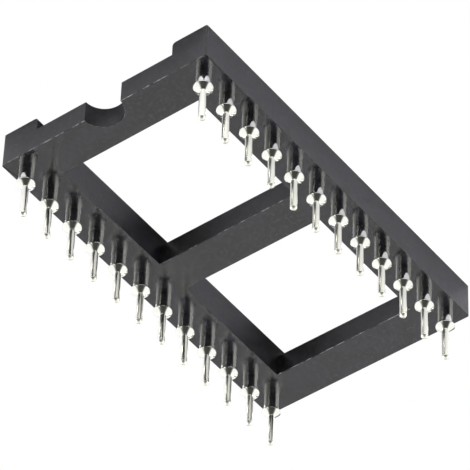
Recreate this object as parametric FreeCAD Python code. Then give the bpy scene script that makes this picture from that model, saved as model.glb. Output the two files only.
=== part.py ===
import FreeCAD, Part
import math
import os

# Socket for a 24-lead integrated circuit: turned contact sleeves in an open moulded frame.
# All lengths are in millimetres. +Z points up, towards the circuit that plugs in.
# The origin is the centre of the contact grid, on the upper face of the circuit board.
# Contact 1 is at -X, +Y. The count runs down that row and back up the other one.

# Contact grid
CONTACTS_PER_ROW = 12
PITCH = 2.54
ROW_SPACING = 15.24

# Housing in plan
END_OVERHANG = 1.30       # from the last contact's axis to the end face
SIDE_OVERHANG = 1.18      # from a row's axis to the side face
RAIL_WIDTH = 2.98
END_BAR_WIDTH = 3.04
CROSS_BAR_WIDTH = 2.96

# Housing in height
STANDOFF = 1.68           # air gap between the board and the housing
RAIL_HEIGHT = 3.00
BAR_HEIGHT = 1.85         # end bars and crossbar, lower than the rails

# Housing details
NOTCH_RADIUS = 1.53
CORNER_ROUND = 0.15       # upright corners
RAIL_INNER_ROUND = 0.30   # upper edge of a rail, on the window side
RAIL_OUTER_ROUND = 0.12   # upper edge of a rail, on the outside
BORE_FLATS = 8            # a sleeve is gripped by the flats of its moulded bore
BORE_FIT = 0.005          # gap between a sleeve and each flat

# Turned contact sleeve. Its body and bead are drawn in flats, because it repeats 24 times.
TURNED_FLATS = 16
SLEEVE_DIAMETER = 1.08
BEAD_DIAMETER = 1.38
BEAD_RIM_HEIGHT = 0.15
BEAD_CONE_HEIGHT = 0.28
BEAD_FOOT_DIAMETER = 0.60
TAIL_DIAMETER = 0.51
TAIL_LENGTH = 2.80        # from the board's upper face to the tip
BOARD_HOLE_DIAMETER = 0.80

# Socket in the sleeve's upper end
SOCKET_FLATS = 8
SOCKET_SIZE = 0.84        # across the flats
SOCKET_DEPTH = 3.30

# Folded spring clip inside each socket
CLIP_FIT = 0.01           # gap between the clip's corners and the sleeve
CLIP_SHEET = 0.05
CLIP_RECESS = 0.25        # from the sleeve's mouth down to the clip
CLIP_LENGTH = 1.70
CLIP_COLLAR_HEIGHT = 0.45
FINGER_TIP_WIDTH = 0.22
FINGER_TIP_GAP = 0.24     # between two opposite fingers

# Places that follow from the sizes above
HOUSING_LENGTH = (CONTACTS_PER_ROW - 1) * PITCH + 2 * END_OVERHANG
HOUSING_WIDTH = ROW_SPACING + 2 * SIDE_OVERHANG
RAIL_TOP_Z = STANDOFF + RAIL_HEIGHT
WINDOW_WIDTH = HOUSING_WIDTH - 2 * RAIL_WIDTH
WINDOW_LENGTH = (HOUSING_LENGTH - 2 * END_BAR_WIDTH - CROSS_BAR_WIDTH) / 2

UP = FreeCAD.Vector(0, 0, 1)
CENTRE = FreeCAD.Vector(0, 0, 0)


def point(x, y, z):
    return FreeCAD.Vector(x, y, z)


def round_point(radius, angle, z):
    return point(radius * math.cos(angle), radius * math.sin(angle), z)


def flat_face(corners):
    return Part.Face(Part.makePolygon(corners + corners[:1]))


def contact_places():
    """Axis of each contact in the order of its number: down the -X row, up the +X row."""
    places = []
    last = (CONTACTS_PER_ROW - 1) * PITCH / 2
    for step in range(CONTACTS_PER_ROW):
        places.append((-ROW_SPACING / 2, last - step * PITCH))
    for step in range(CONTACTS_PER_ROW):
        places.append((ROW_SPACING / 2, step * PITCH - last))
    return places


def flatted_hole(size, flats, low_z, high_z):
    """A regular prism on the Z axis, with the given size across its flats."""
    reach = size / 2 / math.cos(math.pi / flats)
    corners = [round_point(reach, (2 * number + 1) * math.pi / flats, low_z) for number in range(flats)]
    return flat_face(corners).extrude(UP * (high_z - low_z))


def turned_in_flats(outline, flats):
    """A solid on the Z axis, from an outline of (radius, height) carried round in flat steps."""
    faces = []
    for number in range(flats):
        start = 2 * math.pi * number / flats
        end = 2 * math.pi * (number + 1) / flats
        for (radius, z), (next_radius, next_z) in zip(outline, outline[1:]):
            corners = []
            if radius > 0:
                corners += [round_point(radius, start, z), round_point(radius, end, z)]
            else:
                corners.append(point(0, 0, z))
            if next_radius > 0:
                corners += [round_point(next_radius, end, next_z), round_point(next_radius, start, next_z)]
            else:
                corners.append(point(0, 0, next_z))
            faces.append(flat_face(corners))
    return Part.Solid(Part.Shell(faces)).removeSplitter()


def outline_block():
    """The housing's outer form in plan, at the rails' full height, with rounded upright corners."""
    corner = point(-HOUSING_WIDTH / 2, -HOUSING_LENGTH / 2, STANDOFF)
    block = Part.makeBox(HOUSING_WIDTH, HOUSING_LENGTH, RAIL_HEIGHT, corner)
    upright = [edge for edge in block.Edges if edge.BoundBox.ZLength > RAIL_HEIGHT / 2]
    return block.makeFillet(CORNER_ROUND, upright)


def rail_profile():
    """End view of the -X rail: square feet, and two rounded upper edges."""
    outer = -HOUSING_WIDTH / 2
    inner = outer + RAIL_WIDTH
    y = -HOUSING_LENGTH / 2
    slant = math.sqrt(0.5)
    outer_centre = point(outer + RAIL_OUTER_ROUND, y, RAIL_TOP_Z - RAIL_OUTER_ROUND)
    inner_centre = point(inner - RAIL_INNER_ROUND, y, RAIL_TOP_Z - RAIL_INNER_ROUND)
    outer_foot = point(outer, y, STANDOFF)
    outer_start = point(outer, y, outer_centre.z)
    outer_middle = outer_centre + point(-slant, 0, slant) * RAIL_OUTER_ROUND
    outer_end = point(outer_centre.x, y, RAIL_TOP_Z)
    inner_start = point(inner_centre.x, y, RAIL_TOP_Z)
    inner_middle = inner_centre + point(slant, 0, slant) * RAIL_INNER_ROUND
    inner_end = point(inner, y, inner_centre.z)
    inner_foot = point(inner, y, STANDOFF)
    edges = [
        Part.LineSegment(outer_foot, outer_start).toShape(),
        Part.Arc(outer_start, outer_middle, outer_end).toShape(),
        Part.LineSegment(outer_end, inner_start).toShape(),
        Part.Arc(inner_start, inner_middle, inner_end).toShape(),
        Part.LineSegment(inner_end, inner_foot).toShape(),
        Part.LineSegment(inner_foot, outer_foot).toShape(),
    ]
    return Part.Face(Part.Wire(edges))


def rails():
    """Both raised rails, over the whole length of the housing."""
    rail = rail_profile().extrude(point(0, HOUSING_LENGTH, 0))
    return [rail, rail.mirror(CENTRE, point(1, 0, 0))]


def windows():
    """The two openings, one on each side of the crossbar."""
    openings = []
    for low_y in (CROSS_BAR_WIDTH / 2, -CROSS_BAR_WIDTH / 2 - WINDOW_LENGTH):
        corner = point(-WINDOW_WIDTH / 2, low_y, STANDOFF)
        openings.append(Part.makeBox(WINDOW_WIDTH, WINDOW_LENGTH, RAIL_HEIGHT, corner))
    return openings


def housing():
    """The moulded frame: plate, rails, windows, half-round notch and contact bores."""
    corner = point(-HOUSING_WIDTH / 2, -HOUSING_LENGTH / 2, STANDOFF)
    plate = Part.makeBox(HOUSING_WIDTH, HOUSING_LENGTH, BAR_HEIGHT, corner)
    frame = plate.fuse(rails()).removeSplitter().common(outline_block())
    notch_foot = point(0, HOUSING_LENGTH / 2, STANDOFF)
    notch = Part.makeCylinder(NOTCH_RADIUS, BAR_HEIGHT, notch_foot, UP)
    bore = flatted_hole(SLEEVE_DIAMETER + 2 * BORE_FIT, BORE_FLATS, STANDOFF, RAIL_TOP_Z)
    bores = [bore.translated(point(x, y, 0)) for x, y in contact_places()]
    return frame.cut(windows() + [notch] + bores)


def sleeve():
    """The sleeve on the Z axis: straight body, bead whose cone seats in the board's hole, tail."""
    body = SLEEVE_DIAMETER / 2
    bead = BEAD_DIAMETER / 2
    foot = BEAD_FOOT_DIAMETER / 2
    seat = (BOARD_HOLE_DIAMETER / 2 - foot) / (bead - foot)
    foot_z = -BEAD_CONE_HEIGHT * seat
    rim_z = foot_z + BEAD_CONE_HEIGHT
    shoulder_z = rim_z + BEAD_RIM_HEIGHT
    outline = [
        (0, foot_z),
        (foot, foot_z),
        (bead, rim_z),
        (bead, shoulder_z),
        (body, shoulder_z),
        (body, RAIL_TOP_Z),
        (0, RAIL_TOP_Z),
    ]
    socket = flatted_hole(SOCKET_SIZE, SOCKET_FLATS, RAIL_TOP_Z - SOCKET_DEPTH, RAIL_TOP_Z)
    upper = turned_in_flats(outline, TURNED_FLATS).cut(socket)
    tail = Part.makeCylinder(TAIL_DIAMETER / 2, TAIL_LENGTH + foot_z, point(0, 0, -TAIL_LENGTH), UP)
    return upper.fuse(tail)


def square_taper(top_half, foot_half):
    """A square taper on the Z axis, from the foot at zero height up to the clip's length."""
    taper = Part.makeWedge(
        -foot_half, 0, -foot_half, -top_half, -top_half,
        foot_half, CLIP_LENGTH, foot_half, top_half, top_half,
    )
    taper.rotate(CENTRE, point(1, 0, 0), 90)
    return taper


def clip():
    """The folded clip on the Z axis: four fingers that lean in on the lead from one collar."""
    top_half = (SOCKET_SIZE / 2 - CLIP_FIT) * math.sqrt(0.5)
    foot_half = FINGER_TIP_GAP / 2 + CLIP_SHEET
    outside = square_taper(top_half, foot_half)
    inside = square_taper(top_half - CLIP_SHEET, foot_half - CLIP_SHEET)
    half_slot = (foot_half - FINGER_TIP_WIDTH / 2) * math.sqrt(0.5)
    slot = flat_face([
        point(-SOCKET_SIZE, -half_slot, 0),
        point(-SOCKET_SIZE, half_slot, 0),
        point(-SOCKET_SIZE, 0, CLIP_LENGTH - CLIP_COLLAR_HEIGHT),
    ]).extrude(point(2 * SOCKET_SIZE, 0, 0))
    slots = [slot.rotated(CENTRE, UP, angle) for angle in (45, 135)]
    folded = outside.cut([inside] + slots)
    return folded.translated(point(0, 0, RAIL_TOP_Z - CLIP_RECESS - CLIP_LENGTH))


def save(shape, node):
    """Writes a node after a check that it is one closed solid."""
    if len(shape.Solids) != 1 or not shape.isValid():
        raise ValueError("node %s is not one valid solid" % node)
    shape.Solids[0].exportStep("parts/%s.step" % node)


def main():
    os.makedirs("parts", exist_ok=True)
    save(housing(), "housing")
    turned = sleeve()
    folded = clip()
    for number, (x, y) in enumerate(contact_places(), start=1):
        place = point(x, y, 0)
        save(turned.translated(place), "pin_sleeve_%02d" % number)
        save(folded.translated(place), "contact_clip_%02d" % number)


main()
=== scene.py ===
import math

import bmesh
import bpy
from mathutils import Matrix, Vector


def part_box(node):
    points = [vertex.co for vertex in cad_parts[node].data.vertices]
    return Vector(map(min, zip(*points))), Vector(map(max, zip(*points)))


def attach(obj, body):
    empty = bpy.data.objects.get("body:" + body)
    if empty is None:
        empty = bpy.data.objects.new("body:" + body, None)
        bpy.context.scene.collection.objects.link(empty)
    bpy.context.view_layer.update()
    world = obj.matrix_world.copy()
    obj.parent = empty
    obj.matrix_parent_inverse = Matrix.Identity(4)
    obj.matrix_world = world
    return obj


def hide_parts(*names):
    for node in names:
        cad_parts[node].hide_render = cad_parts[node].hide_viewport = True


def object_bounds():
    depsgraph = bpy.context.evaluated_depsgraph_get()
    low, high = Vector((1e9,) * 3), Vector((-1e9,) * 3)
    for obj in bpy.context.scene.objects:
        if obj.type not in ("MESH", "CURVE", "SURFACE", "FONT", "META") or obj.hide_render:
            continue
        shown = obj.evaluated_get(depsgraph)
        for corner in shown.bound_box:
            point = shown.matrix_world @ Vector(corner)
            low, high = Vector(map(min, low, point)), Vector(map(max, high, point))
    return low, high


# Looks of the 24-contact socket: black moulded frame, bright tinned sleeves, gilt clips.
# All lengths are in metres; sizes are written in millimetres times MM. Angles are in degrees.

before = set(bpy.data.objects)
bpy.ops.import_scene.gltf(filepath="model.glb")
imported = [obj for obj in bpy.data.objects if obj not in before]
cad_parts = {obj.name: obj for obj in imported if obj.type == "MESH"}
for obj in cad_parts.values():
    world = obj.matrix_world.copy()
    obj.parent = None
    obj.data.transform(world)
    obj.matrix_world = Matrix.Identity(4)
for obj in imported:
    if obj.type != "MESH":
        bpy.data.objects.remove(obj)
cad_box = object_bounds()
MM = 0.001

# Places taken from the frame
HOUSING_LOW, HOUSING_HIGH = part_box("housing")
SLEEVES = sorted(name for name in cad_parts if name.startswith("pin_sleeve"))
CLIPS = sorted(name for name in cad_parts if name.startswith("contact_clip"))
TIP_Z = cad_box[0].z
UNDERSIDE_Z = HOUSING_LOW.z
TOP_Z = HOUSING_HIGH.z

# Housing, in the same sizes as its solid
RAIL_WIDTH = 2.98 * MM
END_BAR_WIDTH = 3.04 * MM
CROSS_BAR_WIDTH = 2.96 * MM
BAR_HEIGHT = 1.85 * MM
NOTCH_RADIUS = 1.53 * MM
CORNER_ROUND = 0.15 * MM
RAIL_INNER_ROUND = 0.30 * MM
RAIL_OUTER_ROUND = 0.12 * MM
BORE_RADIUS = 0.545 * MM
CUTTER_OVERHANG = 1.0 * MM

# Rounds that the solid leaves out: the largest one, and its share on each kind of edge
EDGE_ROUND = 0.06 * MM
EDGE_ROUND_STEPS = 3
# The roundest edges, the lower ones under walls that face +Y, also carry the pale painted glint
GLINT_EDGE = 1.0
MIDDLING_EDGE = 0.5
SHARP_EDGE = 0.25
LEAST_EDGE_ANGLE = 40
SHORTEST_GLINT_EDGE = 0.6 * MM
DOWNWARD = -0.9           # a face looks down if its normal's Z isn't over this
ALONG_Y = 0.99            # a face looks along +Y if its normal's Y is over this
LEAST_TILT = 0.2          # how far the normal of a face with the painted glint leans both down and along +Y
BORE_RIM_WIDTH = 0.01 * MM

# Sleeve, in the same sizes as its solid, with the small rounds that the solid leaves out
BODY_RADIUS = 0.54 * MM
BEAD_RADIUS = 0.69 * MM
RIM_HEIGHT = 0.15 * MM
RIM_ROUND = 0.07 * MM
RIM_ROUND_LIFT = 0.6      # height of the lower round's centre over the cone, in such rounds
CONE_HEIGHT = 0.28 * MM
CONE_FOOT_RADIUS = 0.30 * MM
CONE_FOOT_Z = -0.0718 * MM
TAIL_RADIUS = 0.255 * MM
TIP_HEIGHT = 0.15 * MM
MOUTH_RADIUS = 0.50 * MM
MOUTH_DEPTH = 0.12 * MM
SOCKET_RADIUS = 0.42 * MM
SOCKET_DEPTH = 3.30 * MM
SOCKET_POINT = 0.12 * MM
CHAMFER = 0.02 * MM

# Steps of arcs and circles, and the angle over which an edge looks sharp
CIRCLE_STEPS = 64
TIP_STEPS = 10
INNER_ROUND_STEPS = 8
SMALL_ROUND_STEPS = 5
RIM_TOP_STEPS = 4
HOUSING_SHARP_ANGLE = 45
SLEEVE_SHARP_ANGLE = 35

# Noises: size of the lumps, detail, roughness. Steps: the noise values where a change starts and ends
BLOTCHES = (1.1 * MM, 2.0, 0.5)
MOTTLE = (0.28 * MM, 4.0, 0.6)
# The next noise, with the third step below, breaks the pale painted glint on the edges into specks
GLINT_SPECKS = (0.9 * MM, 4.0, 0.7)
TIN_CLOUDS = (0.5 * MM, 3.0, 0.5)
GOLD_CLOUDS = (0.3 * MM, 3.0, 0.5)
BLOTCH_STEP = (0.40, 0.60)
MOTTLE_STEP = (0.50, 0.66)
GLINT_SPECK_STEP = (0.45, 0.56)

# Plastic
DEEP_BLACK = (0.001, 0.001, 0.0015, 1)
SOFT_BLACK = (0.006, 0.0055, 0.009, 1)
PALE_BLACK = (0.017, 0.0165, 0.022, 1)
# Pale grey painted on the rounded lower edges that face +Y: a painted glint, not wear
PAINTED_GLINT_GREY = (0.30, 0.30, 0.315, 1)
PLASTIC_ROUGHNESS = 0.15
BLOTCH_ROUGHNESS = 0.05
MOTTLE_ROUGHNESS = 0.04
WALL_ROUGHNESS = 0.12
PLASTIC_IOR = 1.65
PLASTIC_BUMP = {"Strength": 0.6, "Distance": 0.006 * MM}

# Tin
DULL_TIN = (0.86, 0.86, 0.81, 1)
CLEAR_TIN = (0.95, 0.95, 0.90, 1)
TAIL_TIN = (0.97, 0.97, 0.86, 1)
TAIL_FADE = 0.2 * MM
TIN_ROUGHNESS = 0.06
TIN_CLOUD_ROUGHNESS = 0.07
TAIL_ROUGHNESS = 0.09
TIP_ROUGHNESS = 0.2
TURNING_RINGS = {"Scale": 1 / (0.5 * MM), "Distortion": 1.5, "Detail": 2.0}
TIN_BUMP = {"Strength": 0.12, "Distance": 0.003 * MM}

# Gold
DULL_GOLD = (0.78, 0.54, 0.22, 1)
CLEAR_GOLD = (0.90, 0.66, 0.30, 1)
GOLD_ROUGHNESS = 0.18
GOLD_CLOUD_ROUGHNESS = 0.12

# Camera: where the photograph was taken from
PICTURE_PIXELS = 470
CAMERA_AZIMUTH = 218.749
CAMERA_ELEVATION = -45.463
CAMERA_ROLL = 2.289
CAMERA_DISTANCE = 286.424 * MM
CAMERA_FOCAL_PIXELS = 4178.773
CAMERA_ASIDE = 0.151 * MM
CAMERA_DOWN = 3.719 * MM
CAMERA_BASE_Z = -2.92 * MM
SENSOR_WIDTH = 36.0

# Studio
WHITE = (1, 1, 1, 1)
FLOOR_SIZE = 3.0
FLOOR_COLOUR = (0.82, 0.82, 0.82, 1)
TABLE_SIZE = 0.4
TABLE_SET_IN = 0.05 * MM
TABLE_COLOUR = (0.73, 0.725, 0.775, 1)
DARK_COLOUR = (0.058, 0.059, 0.052, 1)
CEILING_COLOUR = (0.80, 0.80, 0.80, 1)
CEILING_FADE = 0.2        # how far over the horizon the ceiling is full, as the sine of an angle
LAMP_DIRECTION = Vector((-0.35, -0.45, 0.82))
LAMP_DISTANCE = 0.35
LAMP_SIZE = 0.25
LAMP_POWER = 0.50

# Banks of light: azimuth from the camera's side towards the picture's right, degrees below the
# object, strength
LIGHT_BANKS = (
    (90, 12, 8.1),
    (90, 35, 6.6),
    (135, 35, 9.0),
    (225, 12, 7.0),
    (232, 35, 11.4),
    (270, 12, 8.8),
    (180, 45, 1.0),
    (275, 45, 1.6),
)
BANK_FALLOFF = 30.0
BANK_COLOUR = (1.0, 1.0, 1.0)
# The brightest that the banks look in a mirror image, and in a mirror image of a mirror image,
# with the ray depths at which the world is seen in the two
MIRRORED_WHITE = 0.97
TWICE_MIRRORED_WHITE = 5.0
MIRROR_DEPTHS = (2.0, 3.0)


class Wire:
    """An output socket. Sums and products of wires add the Math nodes that work them out."""

    def __init__(self, nodes, socket):
        self.nodes = nodes
        self.socket = socket

    def maths(self, operation, *others):
        return self.nodes.maths(operation, self, *others)

    def __add__(self, other):
        return self.nodes.maths("ADD", self, other)

    def __radd__(self, other):
        return self.nodes.maths("ADD", other, self)

    def __sub__(self, other):
        return self.nodes.maths("SUBTRACT", self, other)

    def __rsub__(self, other):
        return self.nodes.maths("SUBTRACT", other, self)

    def __mul__(self, other):
        return self.nodes.maths("MULTIPLY", self, other)

    def __rmul__(self, other):
        return self.nodes.maths("MULTIPLY", other, self)


class Nodes:
    """The nodes of a material or of the world. All of them come from add."""

    def __init__(self, owner):
        owner.use_nodes = True
        self.tree = owner.node_tree
        self.tree.nodes.clear()

    def add(self, kind, settings, inputs, output=0):
        """Adds a node: its settings first, then the values or wires of its sockets."""
        made = self.tree.nodes.new(kind)
        for name, value in settings.items():
            setattr(made, name, value)
        for key, value in inputs.items():
            if isinstance(value, Wire):
                self.tree.links.new(value.socket, made.inputs[key])
            else:
                made.inputs[key].default_value = value
        return Wire(self, made.outputs[output]) if made.outputs else None

    def maths(self, operation, *values):
        return self.add("ShaderNodeMath", {"operation": operation}, dict(enumerate(values)))

    def source(self, kind, output):
        """An output of a node that takes nothing in, such as a texture coordinate."""
        return self.add(kind, {}, {}, output)

    def mix_colours(self, factor, first, second):
        """Blends two colours; sockets 6 and 7 of a Mix node are its colours, and output 2 the result."""
        return self.add("ShaderNodeMix", {"data_type": "RGBA"}, {0: factor, 6: first, 7: second}, 2)

    def threshold(self, value, low, high):
        """0 below low, 1 above high, and a straight slope between."""
        inputs = {"Value": value, "From Min": low, "From Max": high}
        return self.add("ShaderNodeMapRange", {"clamp": True}, inputs)

    def grain(self, size, detail, roughness):
        """Noise on the object's own coordinates, with lumps of the given size in metres."""
        place = self.source("ShaderNodeTexCoord", "Object")
        inputs = {"Vector": place, "Scale": 1 / size, "Detail": detail, "Roughness": roughness}
        return self.add("ShaderNodeTexNoise", {}, inputs)

    def z_of(self, vector):
        return self.add("ShaderNodeSeparateXYZ", {}, {"Vector": vector}, "Z")

    def cosine_to(self, direction, fixed):
        """Cosine of the angle between a wired direction and a fixed one."""
        inputs = {0: direction, 1: fixed}
        return self.add("ShaderNodeVectorMath", {"operation": "DOT_PRODUCT"}, inputs, "Value")


def mix_numbers(factor, first, second):
    return first * (1 - factor) + second * factor


def new_material(name):
    material = bpy.data.materials.new(name)
    return material, Nodes(material)


def close_material(nodes, shader):
    nodes.add("ShaderNodeOutputMaterial", {}, {"Surface": shader})


def moulded_plastic(name, painted_glint):
    """Black glass-filled moulding: mottled gloss, duller walls; its edge version has a pale broken painted
    glint.
    """
    material, nodes = new_material(name)
    blotches = nodes.grain(*BLOTCHES)
    mottle = nodes.grain(*MOTTLE)
    colour = nodes.mix_colours(nodes.threshold(blotches, *BLOTCH_STEP), DEEP_BLACK, SOFT_BLACK)
    colour = nodes.mix_colours(nodes.threshold(mottle, *MOTTLE_STEP), colour, PALE_BLACK)
    # Pale grey painted in broken specks: a painted glint on the edges
    if painted_glint:
        glint_specks = nodes.threshold(nodes.grain(*GLINT_SPECKS), *GLINT_SPECK_STEP)
        colour = nodes.mix_colours(glint_specks, colour, PAINTED_GLINT_GREY)
    normal = nodes.source("ShaderNodeNewGeometry", "Normal")
    upright = 1 - nodes.z_of(normal).maths("ABSOLUTE")
    rough = PLASTIC_ROUGHNESS + BLOTCH_ROUGHNESS * blotches + MOTTLE_ROUGHNESS * mottle
    rough = rough + WALL_ROUGHNESS * upright
    bump = nodes.add("ShaderNodeBump", {}, {**PLASTIC_BUMP, "Height": mottle})
    shader = nodes.add("ShaderNodeBsdfPrincipled", {}, {
        "Base Color": colour, "Roughness": rough, "IOR": PLASTIC_IOR, "Normal": bump,
    })
    close_material(nodes, shader)
    return material


def bright_tin(name):
    """Tin plate over turned brass: fine turning rings, cloudy gloss, duller tail and tip."""
    material, nodes = new_material(name)
    clouds = nodes.grain(*TIN_CLOUDS)
    place = nodes.source("ShaderNodeTexCoord", "Object")
    rings = nodes.add("ShaderNodeTexWave", {"bands_direction": "Z"}, {**TURNING_RINGS, "Vector": place}, 1)
    height = nodes.z_of(place)
    tip = 1 - nodes.threshold(height, TIP_Z, TIP_Z + 2 * TIP_HEIGHT)
    tail = 1 - nodes.threshold(height, CONE_FOOT_Z - TAIL_FADE, CONE_FOOT_Z)
    colour = nodes.mix_colours(clouds, DULL_TIN, CLEAR_TIN)
    colour = nodes.mix_colours(tail, colour, TAIL_TIN)
    rough = TIN_ROUGHNESS + TIN_CLOUD_ROUGHNESS * clouds + TAIL_ROUGHNESS * tail + TIP_ROUGHNESS * tip
    bump = nodes.add("ShaderNodeBump", {}, {**TIN_BUMP, "Height": rings})
    shader = nodes.add("ShaderNodeBsdfPrincipled", {}, {
        "Base Color": colour, "Metallic": 1.0, "Roughness": rough, "Normal": bump,
    })
    close_material(nodes, shader)
    return material


def thin_gold(name):
    """Thin gold plate on the stamped clip."""
    material, nodes = new_material(name)
    clouds = nodes.grain(*GOLD_CLOUDS)
    colour = nodes.mix_colours(clouds, DULL_GOLD, CLEAR_GOLD)
    rough = GOLD_ROUGHNESS + GOLD_CLOUD_ROUGHNESS * clouds
    shader = nodes.add("ShaderNodeBsdfPrincipled", {}, {
        "Base Color": colour, "Metallic": 1.0, "Roughness": rough,
    })
    close_material(nodes, shader)
    return material


def new_object(name, data):
    made = bpy.data.objects.new(name, data)
    bpy.context.scene.collection.objects.link(made)
    return made


def finished_mesh(shape, name):
    mesh = bpy.data.meshes.new(name)
    shape.to_mesh(mesh)
    shape.free()
    return mesh


def add_block(shape, low, high):
    """Adds a block between two corners to a bmesh."""
    place = Matrix.Translation((low + high) / 2) @ Matrix.Diagonal((*(high - low), 1))
    bmesh.ops.create_cube(shape, size=1, matrix=place)


def add_rod(shape, x, y, low_z, high_z, radius):
    """Adds an upright rod to a bmesh."""
    place = Matrix.Translation((x, y, (low_z + high_z) / 2))
    bmesh.ops.create_cone(shape, cap_ends=True, segments=CIRCLE_STEPS, radius1=radius, radius2=radius,
                          depth=high_z - low_z, matrix=place)


def arc(centre, radius, start, end, steps):
    """Points of an arc in a plane, from one angle to another."""
    points = []
    for number in range(steps + 1):
        angle = math.radians(start + (end - start) * number / steps)
        points.append((centre[0] + radius * math.cos(angle), centre[1] + radius * math.sin(angle)))
    return points


def run_along(places, move, name):
    """A solid made by moving a flat outline along a vector."""
    shape = bmesh.new()
    outline = shape.faces.new([shape.verts.new(place) for place in places])
    moved = bmesh.ops.extrude_face_region(shape, geom=[outline])["geom"]
    corners = [item for item in moved if isinstance(item, bmesh.types.BMVert)]
    bmesh.ops.translate(shape, vec=move, verts=corners)
    bmesh.ops.recalc_face_normals(shape, faces=shape.faces)
    return finished_mesh(shape, name)


def frame_section():
    """End view of the housing before its windows: two rounded rails and the low plate between."""
    outer = HOUSING_HIGH.x
    inner = outer - RAIL_WIDTH
    outer_centre = (outer - RAIL_OUTER_ROUND, TOP_Z - RAIL_OUTER_ROUND)
    inner_centre = (inner + RAIL_INNER_ROUND, TOP_Z - RAIL_INNER_ROUND)
    half = [(outer, UNDERSIDE_Z)]
    half += arc(outer_centre, RAIL_OUTER_ROUND, 0, 90, SMALL_ROUND_STEPS)
    half += arc(inner_centre, RAIL_INNER_ROUND, 90, 180, INNER_ROUND_STEPS)
    half.append((inner, UNDERSIDE_Z + BAR_HEIGHT))
    return half + [(-x, z) for x, z in reversed(half)]


def housing_blank():
    """The section run along the housing's length."""
    places = [(x, HOUSING_LOW.y, z) for x, z in frame_section()]
    return run_along(places, Vector((0, HOUSING_HIGH.y - HOUSING_LOW.y, 0)), "housing_blank")


def housing_outline():
    """The housing's plan with its four rounded upright corners, as a tall block."""
    plan = []
    for side_x, side_y, start in ((1, 1, 0), (-1, 1, 90), (-1, -1, 180), (1, -1, 270)):
        centre = (side_x * (HOUSING_HIGH.x - CORNER_ROUND), side_y * (HOUSING_HIGH.y - CORNER_ROUND))
        plan += arc(centre, CORNER_ROUND, start, start + 90, SMALL_ROUND_STEPS)
    places = [(x, y, UNDERSIDE_Z - CUTTER_OVERHANG) for x, y in plan]
    return run_along(places, Vector((0, 0, TOP_Z - UNDERSIDE_Z + 2 * CUTTER_OVERHANG)), "outline")


def opening_cutters():
    """Windows and notch, as solids to take away."""
    shape = bmesh.new()
    inner = HOUSING_HIGH.x - RAIL_WIDTH
    low_z = UNDERSIDE_Z - CUTTER_OVERHANG
    high_z = TOP_Z + CUTTER_OVERHANG
    near = CROSS_BAR_WIDTH / 2
    far = HOUSING_HIGH.y - END_BAR_WIDTH
    add_block(shape, Vector((-inner, near, low_z)), Vector((inner, far, high_z)))
    add_block(shape, Vector((-inner, -far, low_z)), Vector((inner, -near, high_z)))
    add_rod(shape, 0, HOUSING_HIGH.y, low_z, high_z, NOTCH_RADIUS)
    return finished_mesh(shape, "opening_cutters")


def contact_place(name):
    low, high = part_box(name)
    return (low.x + high.x) / 2, (low.y + high.y) / 2


def bore_cutters():
    """One rod for each contact's bore."""
    shape = bmesh.new()
    for name in SLEEVES:
        x, y = contact_place(name)
        add_rod(shape, x, y, UNDERSIDE_Z - CUTTER_OVERHANG, TOP_Z + CUTTER_OVERHANG, BORE_RADIUS)
    return finished_mesh(shape, "bore_cutters")


def with_modifier(piece, kind, settings):
    """Runs one modifier on a piece and keeps its result as the piece's mesh."""
    modifier = piece.modifiers.new(kind.lower(), kind)
    for name, value in settings.items():
        setattr(modifier, name, value)
    graph = bpy.context.evaluated_depsgraph_get()
    mesh = bpy.data.meshes.new_from_object(piece.evaluated_get(graph), preserve_all_data_layers=True,
                                           depsgraph=graph)
    piece.modifiers.clear()
    piece.data = mesh


def cut(piece, mesh, operation="DIFFERENCE"):
    """Takes a mesh away from a piece, or keeps what both hold."""
    tool = new_object(mesh.name, mesh)
    with_modifier(piece, "BOOLEAN", {"object": tool, "operation": operation, "solver": "EXACT"})
    bpy.data.objects.remove(tool)


def on_bore(edge, places):
    """True for an edge on the wall or the rim of a contact's bore."""
    end = edge.verts[0].co
    return any(math.hypot(end.x - x, end.y - y) < BORE_RADIUS + BORE_RIM_WIDTH for x, y in places)


def weigh_edges(mesh):
    """How round each edge is: most on lower edges under walls that face +Y, least on other lower edges."""
    places = [contact_place(name) for name in SLEEVES]
    least_angle = math.radians(LEAST_EDGE_ANGLE)
    shape = bmesh.new()
    shape.from_mesh(mesh)
    weights = shape.edges.layers.float.new("bevel_weight_edge")
    for edge in shape.edges:
        if not edge.is_convex or edge.calc_face_angle() < least_angle or on_bore(edge, places):
            continue
        first, second = (face.normal for face in edge.link_faces)
        if min(first.z, second.z) > DOWNWARD:
            edge[weights] = MIDDLING_EDGE
        elif max(first.y, second.y) > ALONG_Y and edge.calc_length() > SHORTEST_GLINT_EDGE:
            edge[weights] = GLINT_EDGE
        else:
            edge[weights] = SHARP_EDGE
    shape.to_mesh(mesh)
    shape.free()


def keep_painted_glints_on_end_edges(mesh):
    """Only the rounded lower edges that face along +Y keep the pale painted glint."""
    for face in mesh.polygons:
        if face.material_index == 1 and (face.normal.y < LEAST_TILT or face.normal.z > -LEAST_TILT):
            face.material_index = 0


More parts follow.
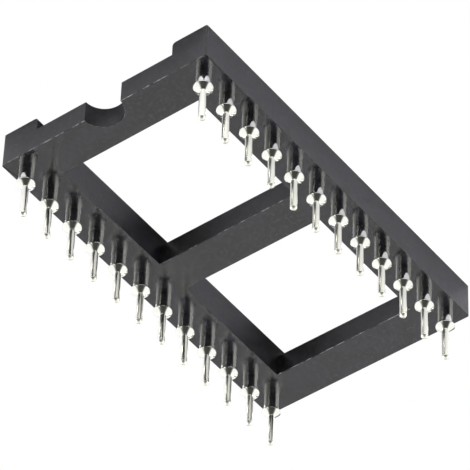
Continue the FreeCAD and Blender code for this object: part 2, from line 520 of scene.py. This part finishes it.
def make_housing(plastic, glinting_plastic):
    """The moulded frame with small rounded edges, which catch the light as the real ones do. The rounded
    lower edges that face +Y also carry a pale painted glint.
    """
    piece = new_object("moulded_frame", housing_blank())
    cut(piece, housing_outline(), "INTERSECT")
    cut(piece, opening_cutters())
    cut(piece, bore_cutters())
    piece.data.materials.clear()
    piece.data.materials.append(plastic)
    piece.data.materials.append(glinting_plastic)
    weigh_edges(piece.data)
    # The rounds all get the second material, with the pale painted glint; after the bevel it stays only
    # where the rounds lean down and along +Y
    with_modifier(piece, "BEVEL", {
        "width": EDGE_ROUND, "segments": EDGE_ROUND_STEPS, "limit_method": "WEIGHT",
        "material": 1, "use_clamp_overlap": False, "miter_outer": "MITER_ARC",
    })
    keep_painted_glints_on_end_edges(piece.data)
    for face in piece.data.polygons:
        face.use_smooth = True
    piece.data.set_sharp_from_angle(angle=math.radians(HOUSING_SHARP_ANGLE))
    with_modifier(piece, "WEIGHTED_NORMAL", {"keep_sharp": True, "weight": 100})
    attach(piece, "root")
    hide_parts("housing")


def sleeve_outline():
    """Half section of the turned sleeve, from the tip's centre round to the socket's floor."""
    rim_z = CONE_FOOT_Z + CONE_HEIGHT
    shoulder_z = rim_z + RIM_HEIGHT
    slope = math.degrees(math.atan2(CONE_HEIGHT, BEAD_RADIUS - CONE_FOOT_RADIUS))
    lower_centre = (BEAD_RADIUS - RIM_ROUND, rim_z + RIM_ROUND * RIM_ROUND_LIFT)
    upper_centre = (BEAD_RADIUS - RIM_ROUND, shoulder_z - RIM_ROUND)
    points = [(0, TIP_Z)]
    for radius, height in arc((0, 0), 1.0, -90, 0, TIP_STEPS)[1:]:
        points.append((radius * TAIL_RADIUS, TIP_Z + (1 + height) * TIP_HEIGHT))
    points.append((TAIL_RADIUS, CONE_FOOT_Z - CHAMFER))
    points.append((CONE_FOOT_RADIUS, CONE_FOOT_Z))
    points += arc(lower_centre, RIM_ROUND, slope - 90, 0, SMALL_ROUND_STEPS)
    points += arc(upper_centre, RIM_ROUND, 0, 90, RIM_TOP_STEPS)
    points.append((BODY_RADIUS + CHAMFER, shoulder_z))
    points.append((BODY_RADIUS, shoulder_z + CHAMFER))
    points.append((BODY_RADIUS, TOP_Z - CHAMFER))
    points.append((BODY_RADIUS - CHAMFER, TOP_Z))
    points.append((MOUTH_RADIUS, TOP_Z))
    points.append((SOCKET_RADIUS, TOP_Z - MOUTH_DEPTH))
    points.append((SOCKET_RADIUS, TOP_Z - SOCKET_DEPTH + SOCKET_POINT))
    points.append((0, TOP_Z - SOCKET_DEPTH))
    return points


def circle(shape, x, y, z, radius):
    """The corners of a flat circle in a bmesh, or its one point if it has no radius."""
    if radius == 0:
        return [shape.verts.new((x, y, z))]
    corners = []
    for number in range(CIRCLE_STEPS):
        angle = 2 * math.pi * number / CIRCLE_STEPS
        corners.append(shape.verts.new((x + radius * math.cos(angle), y + radius * math.sin(angle), z)))
    return corners


def lathe(name, outline, x, y):
    """Turns an outline of (radius, height) about an upright axis."""
    shape = bmesh.new()
    rings = [circle(shape, x, y, z, radius) for radius, z in outline]
    for lower, upper in zip(rings, rings[1:]):
        for number in range(CIRCLE_STEPS):
            following = (number + 1) % CIRCLE_STEPS
            if len(lower) == 1:
                shape.faces.new((lower[0], upper[following], upper[number]))
            elif len(upper) == 1:
                shape.faces.new((lower[number], lower[following], upper[0]))
            else:
                shape.faces.new((lower[number], lower[following], upper[following], upper[number]))
    bmesh.ops.recalc_face_normals(shape, faces=shape.faces)
    for face in shape.faces:
        face.smooth = True
    mesh = finished_mesh(shape, name)
    mesh.set_sharp_from_angle(angle=math.radians(SLEEVE_SHARP_ANGLE))
    return new_object(name, mesh)


def make_sleeves(tin):
    """One turned sleeve for each contact."""
    outline = sleeve_outline()
    for name in SLEEVES:
        x, y = contact_place(name)
        piece = lathe(name.replace("pin_sleeve", "turned_sleeve"), outline, x, y)
        piece.data.materials.append(tin)
        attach(piece, "root")
        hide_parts(name)


def dress_clips(gold):
    for name in CLIPS:
        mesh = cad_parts[name].data
        mesh.materials.clear()
        mesh.materials.append(gold)


def direction_at(azimuth, elevation):
    """Direction from the object, with azimuth 0 towards -Y and 90 towards +X."""
    turn = math.radians(azimuth)
    level = math.cos(math.radians(elevation))
    return Vector((math.sin(turn) * level, -math.cos(turn) * level, math.sin(math.radians(elevation))))


def add_camera():
    """The camera at the photograph's place, with its roll and aim."""
    roll = math.radians(CAMERA_ROLL)
    back = direction_at(CAMERA_AZIMUTH, CAMERA_ELEVATION)
    right = (-back).cross(Vector((0, 0, 1))).normalized()
    up = right.cross(-back)
    turned_right = math.cos(roll) * right + math.sin(roll) * up
    turned_up = math.cos(roll) * up - math.sin(roll) * right
    place = back * CAMERA_DISTANCE + turned_up * CAMERA_DOWN - turned_right * CAMERA_ASIDE
    place.z += CAMERA_BASE_Z
    data = bpy.data.cameras.new("camera")
    data.sensor_width = SENSOR_WIDTH
    data.lens = CAMERA_FOCAL_PIXELS * SENSOR_WIDTH / PICTURE_PIXELS
    data.clip_start = CAMERA_DISTANCE / 10
    data.clip_end = CAMERA_DISTANCE * 20
    camera = new_object("camera", data)
    turn = Matrix((turned_right, turned_up, back)).transposed()
    camera.matrix_world = Matrix.Translation(place) @ turn.to_4x4()
    bpy.context.scene.camera = camera


def add_floor():
    """A pale floor at the tips. It is there for the camera above it and clear from below."""
    shape = bmesh.new()
    bmesh.ops.create_grid(shape, x_segments=1, y_segments=1, size=FLOOR_SIZE / 2)
    floor = new_object("floor", finished_mesh(shape, "floor"))
    floor.location.z = TIP_Z
    material, nodes = new_material("floor_paper")
    seen = nodes.source("ShaderNodeLightPath", "Is Camera Ray")
    behind = nodes.source("ShaderNodeNewGeometry", "Backfacing")
    clear = nodes.add("ShaderNodeBsdfTransparent", {}, {})
    paper = nodes.add("ShaderNodeBsdfDiffuse", {}, {"Color": FLOOR_COLOUR})
    shader = nodes.add("ShaderNodeMixShader", {}, {0: seen * (1 - behind), 1: clear, 2: paper})
    close_material(nodes, shader)
    floor.data.materials.append(material)


def add_table():
    """The white table that the rails lay on in the photograph. Only gloss sees it, and it casts no shadow.

    It has no part over the rails, so that light falls into the contacts from above.
    """
    shape = bmesh.new()
    reach = TABLE_SIZE / 2
    inner = HOUSING_HIGH.x - RAIL_WIDTH
    columns = (-reach, HOUSING_LOW.x, -inner, inner, HOUSING_HIGH.x, reach)
    rows = (-reach, HOUSING_LOW.y, HOUSING_HIGH.y, reach)
    for row, (low_y, high_y) in enumerate(zip(rows, rows[1:])):
        for column, (low_x, high_x) in enumerate(zip(columns, columns[1:])):
            if row == 1 and column in (1, 3):
                continue
            corners = ((low_x, low_y), (low_x, high_y), (high_x, high_y), (high_x, low_y))
            shape.faces.new([shape.verts.new((x, y, TOP_Z - TABLE_SET_IN)) for x, y in corners])
    table = new_object("table", finished_mesh(shape, "table"))
    material, nodes = new_material("table_paper")
    close_material(nodes, nodes.add("ShaderNodeBsdfDiffuse", {}, {"Color": TABLE_COLOUR}))
    table.data.materials.append(material)
    table.visible_camera = False
    table.visible_diffuse = False
    table.visible_transmission = False
    table.visible_shadow = False


def add_world():
    """A dark room with soft light banks on both sides below the object, and a plain pale ceiling.

    Where a camera sees the world itself, it is white.
    """
    world = bpy.data.worlds.new("studio")
    bpy.context.scene.world = world
    nodes = Nodes(world)
    direction = nodes.source("ShaderNodeTexCoord", "Generated")
    above = nodes.threshold(nodes.cosine_to(direction, Vector((0, 0, 1))), 0.0, CEILING_FADE)
    banks = 0.0
    for azimuth, drop, strength in LIGHT_BANKS:
        cosine = nodes.cosine_to(direction, direction_at(CAMERA_AZIMUTH + azimuth, -drop))
        banks = banks + strength * cosine.maths("MAXIMUM", 0.0).maths("POWER", BANK_FALLOFF)
    twice = nodes.threshold(nodes.source("ShaderNodeLightPath", "Ray Depth"), *MIRROR_DEPTHS)
    limit = mix_numbers(twice, MIRRORED_WHITE, TWICE_MIRRORED_WHITE)
    mirrored = nodes.source("ShaderNodeLightPath", "Is Glossy Ray")
    dimmed = mix_numbers(mirrored, banks, banks.maths("MINIMUM", limit))
    room = nodes.mix_colours(above, DARK_COLOUR, CEILING_COLOUR)
    lit = nodes.add("ShaderNodeVectorMath", {"operation": "MULTIPLY_ADD"},
                    {0: dimmed, 1: BANK_COLOUR, 2: room})
    seen = nodes.source("ShaderNodeLightPath", "Is Camera Ray")
    through = nodes.source("ShaderNodeLightPath", "Is Transmission Ray")
    colour = nodes.mix_colours(seen.maths("MAXIMUM", through), lit, WHITE)
    background = nodes.add("ShaderNodeBackground", {}, {"Color": colour, "Strength": 1.0})
    nodes.add("ShaderNodeOutputWorld", {}, {"Surface": background})


def add_lamp_above():
    """A square soft lamp over the object. Neither the camera nor gloss sees it."""
    data = bpy.data.lights.new("softbox_above", "AREA")
    data.size = LAMP_SIZE
    data.energy = LAMP_POWER
    lamp = new_object("softbox_above", data)
    away = LAMP_DIRECTION.normalized()
    turn = away.to_track_quat("Z", "Y").to_matrix().to_4x4()
    lamp.matrix_world = Matrix.Translation(away * LAMP_DISTANCE) @ turn
    lamp.visible_camera = False
    lamp.visible_glossy = False


def main():
    bpy.context.scene.view_settings.view_transform = "Standard"
    add_camera()
    add_floor()
    add_table()
    add_world()
    add_lamp_above()
    # The second moulding is the one with the pale painted glint on the edges
    make_housing(moulded_plastic("black_moulding", False), moulded_plastic("black_moulding_edge", True))
    make_sleeves(bright_tin("bright_tin"))
    dress_clips(thin_gold("thin_gold"))


main()
